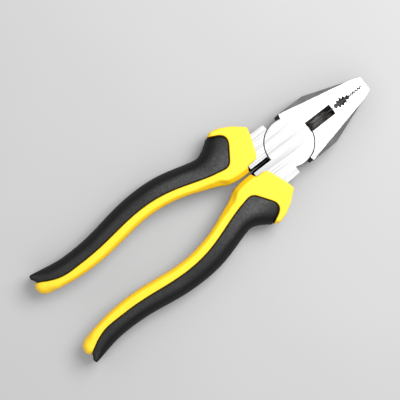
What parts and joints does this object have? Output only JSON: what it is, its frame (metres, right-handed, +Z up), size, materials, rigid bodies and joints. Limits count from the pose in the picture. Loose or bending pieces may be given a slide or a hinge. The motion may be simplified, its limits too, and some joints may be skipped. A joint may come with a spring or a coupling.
{
  "type": "combination pliers",
  "caption": "Lineman's combination pliers with tapered serrated jaws, pipe grip, side cutter, lap joint and two-part yellow and black grips.",
  "frame": {"origin": "under the middle of the tool's outline, on the surface it lies on", "axes": "+X along the closed tool towards the jaw tips, +Z up along the rivet, +Y to the side of the front lever's jaw"},
  "size_m": [0.2052, 0.0608, 0.0176],
  "materials": {
    "lever_steel": "forged steel, ground and polished on both flat faces, dark satin on the sides",
    "rivet_steel": "steel ground flush and polished",
    "yellow_plastic": "moulded satin",
    "black_rubber": "moulded matt with a fine grain"
  },
  "bodies": {
    "front_half": {"front_lever": "lever_steel", "rivet": "rivet_steel", "front_grip_sleeve": "yellow_plastic", "front_grip_overmould": "black_rubber"},
    "back_half": {"back_lever": "lever_steel", "back_grip_sleeve": "yellow_plastic", "back_grip_overmould": "black_rubber"}
  },
  "joints": [
    {"name": "lap_joint", "type": "hinge", "parent": "front_half", "child": "back_half", "pos_m": [0.05175, 0, 0.0088], "axis": [0, 0, -1], "range_deg": [0, 28]}
  ]
}
